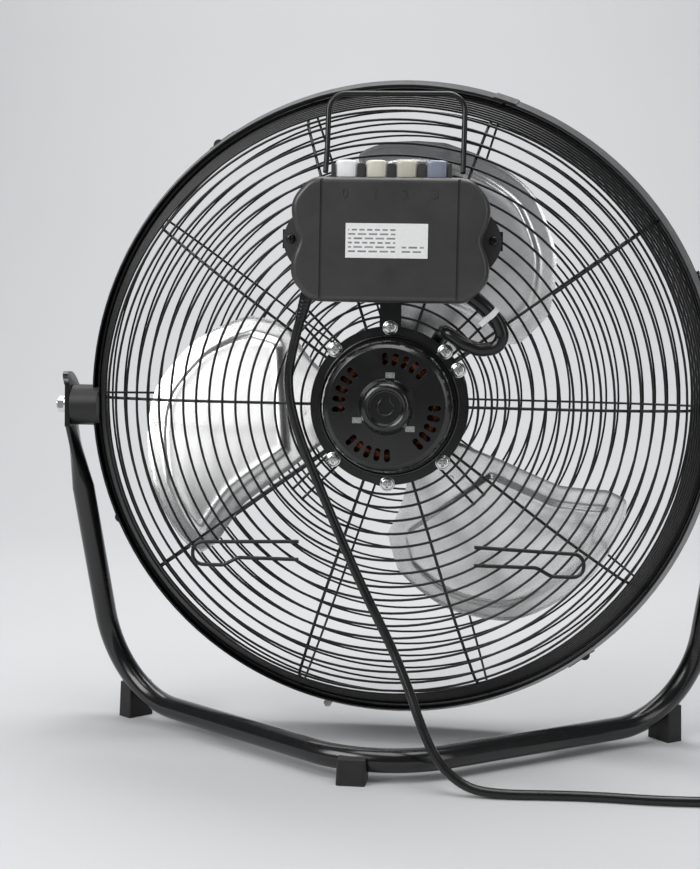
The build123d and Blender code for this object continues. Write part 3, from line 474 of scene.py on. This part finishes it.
def lathe(outline, origin, direction, sides=48, close=True):
    """A body turned about a line, from (radius, height) points in metres along it."""
    side = direction.orthogonal().normalized()
    other = direction.cross(side)
    turns = [2 * math.pi * k / sides for k in range(sides)]
    rings = [
        [origin + direction * height + (side * math.cos(t) + other * math.sin(t)) * radius for t in turns]
        for radius, height in outline
    ]
    return skin(rings, close)


def spline_points(name, controls, step=8):
    """Points along a smooth NURBS line that follows its control points."""
    curve = bpy.data.curves.new(name, "CURVE")
    curve.dimensions = "3D"
    curve.resolution_u = step
    line = curve.splines.new("NURBS")
    line.points.add(len(controls) - 1)
    for point, control in zip(line.points, controls):
        point.co = (*control, 1)
    line.order_u = 3
    line.use_endpoint_u = True
    obj = bpy.data.objects.new(name, curve)
    bpy.context.scene.collection.objects.link(obj)
    graph = bpy.context.evaluated_depsgraph_get()
    mesh = bpy.data.meshes.new_from_object(obj.evaluated_get(graph))
    points = [v.co.copy() for v in mesh.vertices]
    bpy.data.objects.remove(obj)
    bpy.data.meshes.remove(mesh)
    return points


def area_normals(mesh, limit):
    """Corner normals weighted by face area, so that flat faces stay flat beside their rounded edges."""
    closest = math.cos(math.radians(limit))
    around = [[] for _ in mesh.vertices]
    for face in mesh.polygons:
        for index in face.vertices:
            around[index].append(face.index)
    flat = [(face.normal.copy(), face.area) for face in mesh.polygons]
    normals = []
    for face in mesh.polygons:
        for index in face.vertices:
            total = Vector((0, 0, 0))
            for other in around[index]:
                normal, area = flat[other]
                if normal.dot(flat[face.index][0]) > closest:
                    total += normal * area
            normals.append(total.normalized() if total.length else flat[face.index][0])
    return normals


def refined(node, width, sharp=28.0, segments=2):
    """A CAD node's own shape with its hard edges rounded over, in place of the node."""
    work = bmesh.new()
    work.from_mesh(nodes[node].data)
    bmesh.ops.remove_doubles(work, verts=work.verts, dist=2e-6)
    bmesh.ops.dissolve_limit(work, angle_limit=math.radians(0.5), verts=work.verts, edges=work.edges)
    hard = [e for e in work.edges if len(e.link_faces) == 2 and e.calc_face_angle(0) > math.radians(sharp)]
    bmesh.ops.bevel(
        work, geom=hard, offset=width * MM, segments=segments, profile=0.5, affect="EDGES", clamp_overlap=True
    )
    mesh = bpy.data.meshes.new(f"{node}_finished")
    work.to_mesh(mesh)
    work.free()
    if "custom_normal" in mesh.attributes:
        mesh.attributes.remove(mesh.attributes["custom_normal"])
    mesh.polygons.foreach_set("use_smooth", [True] * len(mesh.polygons))
    mesh.normals_split_custom_set(area_normals(mesh, 40))
    return placed(f"{node}_finished", mesh, node_bodies[node], node_slots[node], [node])


# ---- power cord ------------------------------------------------------------------------------
CORD_R = 3.7
CORD_ROUTE = [
    (70.2, 100.6, 355.8),
    (76.5, 100.0, 332.0),
    (80.0, 99.0, 304.0),
    (71.5, 98.5, 268.0),
    (53.0, 99.0, 226.0),
    (33.0, 101.5, 181.0),
    (13.0, 107.5, 141.0),
    (-8.0, 118.0, 105.0),
    (-23.5, 131.5, 75.0),
    (-35.0, 143.5, 47.0),
    (-49.0, 151.5, 22.0),
    (-71.0, 156.5, 6.0),
    (-97.0, 158.0, 3.7),
    (-130.0, 154.0, 3.7),
    (-166.0, 151.5, 3.7),
    (-208.0, 154.0, 3.7),
    (-246.0, 152.0, 3.7),
    (-280.0, 146.2, 3.7),
]
COIL_CENTRE = (-319.5, 87.0)
COIL_MID_R = 41.0
COIL_ENTRY = 108.0
ENTRY_STUB = 28.0
TURN_POINTS = 16
COIL_TURNS = 3.7
LAYERS = [(1, 1), (-1, 1), (-1, 3), (1, 3), (1, 3)]       # outer or inner, and height in cord radii
PLUG_RISE = [(44.0, 8, 14), (37, 24, 19), (24, 30, 22.3), (10, 30, 23.8)]
RELIEF_LENGTH = 22.0


def coil_spot(turns):
    """A point of the coil after that many turns; each turn eases into the next over its last fifth."""
    whole = min(int(turns), len(LAYERS) - 2)
    ease = smooth(turns - whole, 0.8, 1.0)
    side, level = (a + (b - a) * ease for a, b in zip(LAYERS[whole], LAYERS[whole + 1]))
    angle = math.radians(COIL_ENTRY + 360 * turns)
    radius = COIL_MID_R + side * CORD_R
    x = COIL_CENTRE[0] + radius * math.cos(angle)
    y = COIL_CENTRE[1] + radius * math.sin(angle)
    return (x, y, level * CORD_R)


def coil_entry():
    """The point of the route where the cord meets its coil."""
    touch = coil_spot(0)
    angle = math.radians(COIL_ENTRY)
    return (touch[0] + ENTRY_STUB * math.sin(angle), touch[1] - ENTRY_STUB * math.cos(angle), CORD_R)


def cord_controls():
    coil = [coil_spot(k / TURN_POINTS) for k in range(round(COIL_TURNS * TURN_POINTS))]
    rise = [(COIL_CENTRE[0] + x, COIL_CENTRE[1] + y, z) for x, y, z in PLUG_RISE]
    return [at(*p) for p in CORD_ROUTE + [coil_entry()] + coil + rise]


def strain_relief():
    """The tapered, grooved sleeve where the cord leaves the switch box."""
    end = at(*CORD_ROUTE[0])
    length = RELIEF_LENGTH * MM
    top = end - (at(*CORD_ROUTE[1]) - end).normalized() * length
    outline = [(0.0, 0.0), (5.4 * MM, 0.0)]
    rows = 120
    for k in range(rows + 1):
        share = k / rows
        groove = 0.22 * smooth(math.cos(2 * math.pi * 7 * share), 0.2, 0.9) * smooth(share, 0.15, 0.3)
        outline.append(((5.4 - 1.2 * share - groove) * MM, share * (length - 0.5 * MM)))
    outline += [(3.9 * MM, length), (0.0, length)]
    points, faces = lathe(outline, top, (end - top).normalized(), close=False)
    return piece("cord_strain_relief", points, faces, "head", "sleeve_rubber", ["cord_relief"])


def rounded_section(centre, half_x, half_y, along, power=3.5, count=40):
    """A superellipse section across the plug, half_x along the row's y and half_y up."""
    ring = []
    for k in range(count):
        t = 2 * math.pi * k / count
        c, s = math.cos(t), math.sin(t)
        x = math.copysign(abs(c) ** (2 / power), c) * half_x * MM
        y = math.copysign(abs(s) ** (2 / power), s) * half_y * MM
        ring.append(centre + Vector((0, x, y)) - Vector((along * MM, 0, 0)))
    return ring


def mains_plug():
    """A moulded two-pin plug: ribbed neck, waisted grip with finger ribs, flat face."""
    nose = at(COIL_CENTRE[0] + PLUG_RISE[-1][0], COIL_CENTRE[1] + PLUG_RISE[-1][1], PLUG_RISE[-1][2])
    sections = [(0.0, 4.0, 4.0, 2.0), (0.6, 4.5, 4.5, 2.0)]
    for k in range(4):
        start = 1.2 + 2.6 * k
        radius = 4.7 + 0.25 * k
        sections += [(start, radius, radius, 2.0), (start + 1.3, radius, radius, 2.0),
                     (start + 1.5, radius - 0.7, radius - 0.7, 2.0),
                     (start + 2.3, radius - 0.7, radius - 0.7, 2.0)]
    sections += [(12.2, 6.6, 6.0, 2.4), (13.0, 8.0, 6.8, 2.6), (16.0, 10.2, 7.5, 2.9)]
    for k in range(4):
        start = 18.0 + 3.0 * k
        wide = 11.4 + 0.9 * k
        sections += [(start, wide, 8.3, 3.2), (start + 1.4, wide + 0.3, 8.3, 3.2),
                     (start + 1.8, wide - 0.3, 7.5, 3.2), (start + 2.6, wide - 0.1, 7.5, 3.2)]
    sections += [(31.0, 15.6, 8.8, 3.6), (33.5, 16.8, 8.95, 3.9), (36.8, 17.0, 9.0, 4.0),
                 (37.7, 16.5, 8.6, 4.0), (38.0, 15.8, 8.0, 4.0)]
    rings = [rounded_section(nose, wide, high, along, power) for along, wide, high, power in sections]
    points, faces = skin(rings)
    body = piece("plug_body", points, faces, "stand", "plug_rubber", ["mains_plug"])
    pins = []
    for side in (-9.5, 9.5):
        base = nose + Vector((-38 * MM, side * MM, 0))
        sleeve = [(0, -1), (2.4, -1), (2.4, 8), (2.3, 8.4)]
        pin = [(2.3, 8.4), (2.3, 17.2), (2.0, 18.3), (1.2, 18.9), (0, 19)]
        outline = [(r * MM, h * MM) for r, h in sleeve + pin]
        pins.append(lathe(outline, base, Vector((-1, 0, 0)), 24, close=False))
    points, faces = joined(*pins)
    pin_piece = piece("plug_pins", points, faces, "stand", "bright_steel")
    return [body, pin_piece]


def power_cord():
    relief = strain_relief()
    plug = mains_plug()
    path = spline_points("cord_line", cord_controls())
    points, faces = tube(path, CORD_R * MM, sides=18)
    cord = piece("mains_cord", points, faces, None, "cord_jacket", ["power_cord", "cord_coil"], sharp=60)
    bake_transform(cord)


power_cord()


# ---- blades ----------------------------------------------------------------------------------
BLADE_ANGLE = 187.0
BLADE_T = 1.2
CAMBER = ((-94.0, -6.0), (12.0, 30.0), (118.0, 52.0))
LEADING = ((50, 209), (100, 213.5), (150, 215), (187, 219.5), (205, 219.0), (212, 212), (215, 200))
TRAILING = (
    (50, 184), (56, 168), (62, 160), (112, 146.5), (145, 151), (180, 164), (206, 178), (212, 187), (215, 200)
)
BEAD_INSET = 17.0
BEAD_HUB_R = 96.0
BEAD_RISE = 1.7
PANEL_RISE = 2.1
HEM_DROP = 0.5
BLADE_ROOT_R = 50.0
BLADE_SPAN = 164.9


def circle_through(a, b, c):
    """Centre and radius of the circle through three plane points."""
    rows = np.array([[b[0] - a[0], b[1] - a[1]], [c[0] - a[0], c[1] - a[1]]])
    squares = np.array([np.dot(b, b) - np.dot(a, a), np.dot(c, c) - np.dot(a, a)]) / 2
    centre = np.linalg.solve(rows, squares)
    return centre, math.dist(centre, a)


def edge_angle(keys, radius):
    """The angle of a blade edge at a radius, in straight steps between its (radius, angle) keys."""
    for (r0, a0), (r1, a1) in zip(keys, keys[1:]):
        if radius <= r1:
            share = (radius - r0) / (r1 - r0)
            return a0 + (a1 - a0) * share
    return keys[-1][1]


def edge_distance(point, edge):
    """Distance from a plane point to a closed outline given as an array of points."""
    runs = np.roll(edge, -1, axis=0) - edge
    share = np.clip(((point - edge) * runs).sum(1) / np.maximum((runs * runs).sum(1), 1e-9), 0, 1)
    return np.linalg.norm(edge + runs * share[:, None] - point, axis=1).min()


def blade_mesh(rows=96, columns=84):
    """Points (head x, y, depth) and quads of one side of the first blade, with its pressed bead."""
    centre, camber_r = circle_through(*[np.array(p) for p in CAMBER])
    turn = math.radians(BLADE_ANGLE)
    radii = [BLADE_ROOT_R + BLADE_SPAN * (i / rows) ** 0.92 for i in range(rows + 1)]
    soft = [(edge_angle(TRAILING, r), edge_angle(LEADING, r)) for r in radii]
    for _ in range(3):
        soft = [soft[0]] + [
            tuple((a + 2 * b + c) / 4 for a, b, c in zip(*trio)) for trio in zip(soft, soft[1:], soft[2:])
        ] + [soft[-1]]
    outline = [polar(r, low) for r, (low, high) in zip(radii, soft)]
    outline += [polar(r, high) for r, (low, high) in reversed(list(zip(radii, soft)))]
    outline = np.array(outline)
    points = []
    for r, (low, high) in zip(radii, soft):
        for j in range(columns + 1):
            spot = np.array(polar(r, low + (high - low) * j / columns))
            across = -spot[0] * math.sin(turn) + spot[1] * math.cos(turn)
            outward = spot[0] * math.cos(turn) + spot[1] * math.sin(turn)
            depth = centre[1] + math.sqrt(camber_r**2 - (across - centre[0]) ** 2)
            to_edge = edge_distance(spot, outline)
            inset = to_edge - BEAD_INSET
            inset = min(inset, outward - BEAD_HUB_R)
            panel = PANEL_RISE * smooth(inset, -2.5, 4.5)
            bead = BEAD_RISE * math.exp(-((inset / 2.7) ** 2))
            hem = HEM_DROP * math.exp(-((to_edge / 1.6) ** 2))
            points.append((spot[0], spot[1], depth + panel + bead - hem))
    wide = columns + 1
    faces = [
        (i * wide + j, i * wide + j + 1, (i + 1) * wide + j + 1, (i + 1) * wide + j)
        for i in range(rows) for j in range(columns)
    ]
    return points, faces, wide, rows


def blades():
    points, quads, wide, rows = blade_mesh()
    count = len(points)
    rim = list(range(wide)) + [i * wide + wide - 1 for i in range(1, rows + 1)]
    rim += [rows * wide + j for j in range(wide - 2, -1, -1)] + [i * wide for i in range(rows - 1, 0, -1)]
    faces = quads + [tuple(count + i for i in reversed(face)) for face in quads]
    faces += [(a, b, count + b, count + a) for a, b in zip(rim, rim[1:] + rim[:1])]
    for k in range(3):
        turn = math.radians(120 * k)
        solid = []
        for lift in (0, BLADE_T):
            for x, y, depth in points:
                turned_x = x * math.cos(turn) - y * math.sin(turn)
                turned_y = x * math.sin(turn) + y * math.cos(turn)
                solid.append(head(turned_x, turned_y, depth + lift))
        piece(f"fan_blade_{k + 1}", solid, faces, "rotor", "blade_aluminium", [f"blade_{k + 1}"], sharp=50)


blades()


# ---- finished edges ----------------------------------------------------------------------------
EDGE_WIDTHS = {
    "box_cover": 0.45, "key_frame": 0.4, "box_base": 0.5, "box_bracket": 0.3, "motor_flange": 0.4,
    "motor_mount_ring": 0.3, "motor_rear_cover": 0.35, "motor_front_cover": 0.5, "cover_tabs": 0.2,
    "feet_front": 0.9, "foot_rear": 0.9, "clip_bases": 0.35, "pivot_nuts": 0.5, "pivot_washers": 0.25,
    "pivot_spacers": 0.8, "guard_lock_screw": 0.4, "hub_nut": 0.8, "blade_hub": 0.5, "band_joint_plate": 0.25,
    "clip_lever_1": 0.3, "clip_lever_2": 0.3, "clip_lever_3": 0.3, "clip_lever_4": 0.3,
}
for name, width in EDGE_WIDTHS.items():
    refined(name, width)


# ---- screws ----------------------------------------------------------------------------------
def cross_head(seat, direction, radius, height, recess, rings=14, sides=64):
    """A domed screw head with a cross recess."""
    side = Vector((1, 0, 0)) if abs(direction.x) < 0.5 else Vector((0, 1, 0))
    other = direction.cross(side)
    rows = [[seat + (side * math.cos(t) + other * math.sin(t)) * radius
             for t in (2 * math.pi * k / sides for k in range(sides))]]
    for i in range(rings + 1):
        share = 1 - i / (rings + 0.6)
        dome = height * (0.35 + 0.65 * math.sqrt(max(0.0, 1 - share**2.6)))
        ring = []
        for k in range(sides):
            t = 2 * math.pi * k / sides
            x, y = radius * share * math.cos(t), radius * share * math.sin(t)
            near = min(abs(x), abs(y)) / radius
            far = max(abs(x), abs(y)) / radius
            cut = recess * (1 - smooth(near, 0.10, 0.17)) * (1 - smooth(far, 0.50, 0.62))
            ring.append(seat + side * x + other * y + direction * (dome - cut))
        rows.append(ring)
    return skin(rows)


SCREW_ANGLES = (90, 135, 45, 225, 315, 270, 28.5)
SCREW_CIRCLE_R = 61.6
FLANGE_DEPTH = 89.0
BRACKET_T = 1.5                   # the top screw also holds the switch box's bracket


def motor_screws():
    solids = []
    for angle in SCREW_ANGLES:
        seat_depth = FLANGE_DEPTH + (BRACKET_T if angle == 90 else 0)
        seat = head(*polar(SCREW_CIRCLE_R, angle), seat_depth)
        washer = lathe([(0, 0), (6.0 * MM, 0), (6.0 * MM, 0.5 * MM), (5.7 * MM, 0.8 * MM), (0, 0.8 * MM)],
                       seat, BEHIND, 48, close=False)
        solids += [washer, cross_head(seat + BEHIND * 0.8 * MM, BEHIND, 5.1 * MM, 2.9 * MM, 2.0 * MM)]
    points, faces = joined(*solids)
    piece("motor_screw_heads", points, faces, "head", "zinc", ["motor_screws"], sharp=50)


def box_screw_heads(radius=3.6 * MM, height=2.2 * MM):
    solids = []
    low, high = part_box("box_screws")
    for x in (low.x + radius, high.x - radius):
        seat = Vector((x, high.y - height, (low.z + high.z) / 2))
        solids.append(cross_head(seat, BEHIND, radius, height, 1.5 * MM))
    points, faces = joined(*solids)
    piece("box_screw_heads", points, faces, "head", "screw_black", ["box_screws"], sharp=50)


motor_screws()
box_screw_heads()


# ---- motor details -------------------------------------------------------------------------------
def windings():
    """The coil ends inside the motor: bundled strands round the core."""
    solids = []
    sides, around = 30, 180
    ring_r = 38.0
    for low, high in ((54, 62), (92, 102)):      # in front of the stator core and behind it
        rings = []
        for k in range(around):
            t = 2 * math.pi * k / around
            slot_wave = 0.5 + 0.5 * math.cos(24 * t)
            ring = []
            for j in range(sides):
                a = 2 * math.pi * j / sides
                strand = 0.35 * math.cos(9 * a + 14 * t)
                wide = 5.6 + 0.5 * slot_wave + strand
                tall = (high - low) / 2 - 0.6 + 0.5 * slot_wave * (1 if a < math.pi else 0) + strand
                radius = ring_r + wide * math.cos(a)
                ring.append(head(*polar(radius, math.degrees(t)), (low + high) / 2 + tall * math.sin(a)))
            rings.append(ring)
        points, faces = skin(rings + [rings[0]], close=False)
        solids.append((points, faces))
    points, faces = joined(*solids)
    piece("winding_bundles", points, faces, "head", "winding", ["stator_windings"], sharp=60)


def boss_mark():
    """The raised keyhole bead in the middle of the motor's rear cover."""
    depth = 117.6
    arc = [head(*polar(6.2, a), depth) for a in range(-235, 56, 10)]
    left = head(-3.5, 8.6, depth)
    right = head(3.5, 8.6, depth)
    points, faces = tube([left] + arc + [right], 0.85 * MM, sides=12)
    piece("cover_bead", points, faces, "head", "motor_paint", sharp=60)


windings()
boss_mark()


# ---- keys ------------------------------------------------------------------------------------
def push_keys(rows=14, count=64):
    """The push keys, bulging a little on every side and domed on top."""
    for k in range(4):
        low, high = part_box(f"key_{k}")
        centre = (low + high) / 2
        half_x, half_y = (high.x - low.x) / 2, (high.y - low.y) / 2
        crown = 2.4 * MM
        levels = [(low.z, 1.0), ((low.z + high.z) / 2, 1.0)]
        for i in range(rows + 1):
            t = math.pi / 2 * i / rows
            levels.append((high.z - crown + crown * math.sin(t), math.cos(t) ** 0.42 if i < rows else 0.30))
        rings = []
        for z, share in levels:
            ring = []
            for j in range(count):
                t = 2 * math.pi * j / count
                c, s = math.cos(t), math.sin(t)
                x = math.copysign(abs(c) ** (2 / 2.6), c) * half_x * share
                y = math.copysign(abs(s) ** (2 / 2.6), s) * half_y * share
                ring.append(Vector((centre.x + x, centre.y + y, z)))
            rings.append(ring)
        points, faces = skin(rings)
        slot = node_slots[f"key_{k}"]
        piece(f"push_key_{k}", points, faces, f"speed_key_{k}", slot, [f"key_{k}"], sharp=60)


push_keys()


# ---- key numbers -----------------------------------------------------------------------------
def key_numbers():
    """Raised numbers under the push keys."""
    face_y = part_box("box_cover")[1].y
    graph = bpy.context.evaluated_depsgraph_get()
    solids = []
    for k in range(4):
        curve = bpy.data.curves.new(f"digit_{k}", "FONT")
        curve.body = str(k)
        curve.size = 0.0105
        curve.extrude = 0.00045
        curve.bevel_depth = 0.00008
        curve.align_x = "CENTER"
        curve.align_y = "CENTER"
        obj = bpy.data.objects.new(f"digit_{k}", curve)
        bpy.context.scene.collection.objects.link(obj)
        graph.update()
        mesh = bpy.data.meshes.new_from_object(obj.evaluated_get(graph))
        spot = Vector((middle(f"key_{k}").x, face_y, AXIS_Z + 164 * MM))
        points = [spot + Vector((-v.co.x, v.co.z, v.co.y)) for v in mesh.vertices]
        solids.append((points, [tuple(p.vertices) for p in mesh.polygons]))
        bpy.data.objects.remove(obj)
        bpy.data.meshes.remove(mesh)
    points, faces = joined(*solids)
    piece("key_numbers", points, faces, "head", "box_plastic", sharp=30)


key_numbers()


# ---- stage and light -------------------------------------------------------------------------
def pale_floor():
    """A floor that curves up into a backdrop behind the fan's front, in one pale sheet."""
    half_width = 5.0
    near, far, bend, top = 4.5, -2.4, 1.2, 4.0
    outline = [(near, 0.0), (far + bend, 0.0)]
    outline += [(far + bend - bend * math.sin(a), bend - bend * math.cos(a))
                for a in (math.radians(7.5 * k) for k in range(1, 13))]
    outline.append((far, top))
    points = [Vector((x, y, z)) for y, z in outline for x in (-half_width, half_width)]
    faces = [(2 * k, 2 * k + 1, 2 * k + 3, 2 * k + 2) for k in range(len(outline) - 1)]
    mesh = bpy.data.meshes.new("floor")
    mesh.from_pydata(points, [], faces)
    mesh.polygons.foreach_set("use_smooth", [True] * len(mesh.polygons))
    s = Shading("floor_card", 0.75, specular=0.2)
    s.colour(s.blend(s.noise(3, 3), (0.575, 0.58, 0.59), (0.59, 0.595, 0.605)))
    mesh.materials.append(s.material)
    floor = bpy.data.objects.new("floor", mesh)
    bpy.context.scene.collection.objects.link(floor)


def softbox(name, place, aim, size, energy, colour=(1, 1, 1)):
    light = bpy.data.lights.new(name, "AREA")
    light.shape = "RECTANGLE"
    light.size, light.size_y = size
    light.energy = energy
    light.color = colour
    obj = bpy.data.objects.new(name, light)
    obj.location = place
    obj.rotation_euler = (Vector(aim) - Vector(place)).to_track_quat("-Z", "Y").to_euler()
    bpy.context.scene.collection.objects.link(obj)


def studio():
    world = bpy.data.worlds.new("studio")
    world.use_nodes = True
    background = world.node_tree.nodes["Background"]
    background.inputs["Color"].default_value = (0.93, 0.96, 1.0, 1)
    background.inputs["Strength"].default_value = 0.13
    bpy.context.scene.world = world
    bpy.context.scene.view_settings.view_transform = "Standard"
    softbox("key_light", (1.7, 1.6, 1.7), (0, 0, 0.3), (1.5, 1.5), 40)
    softbox("top_light", (-0.2, 0.1, 2.4), (0, 0, 0.2), (2.2, 1.6), 40)
    softbox("fill_light", (0.72, 1.75, 1.25), (0.1, 0, 0.3), (0.8, 0.7), 2.0)
    softbox("side_light", (-1.9, 1.2, 0.8), (0, 0, 0.3), (0.6, 1.6), 6)
    softbox("back_light", (0.3, -1.0, 2.2), (0, -1.6, 0.2), (2.5, 1.0), 27)


pale_floor()
studio()
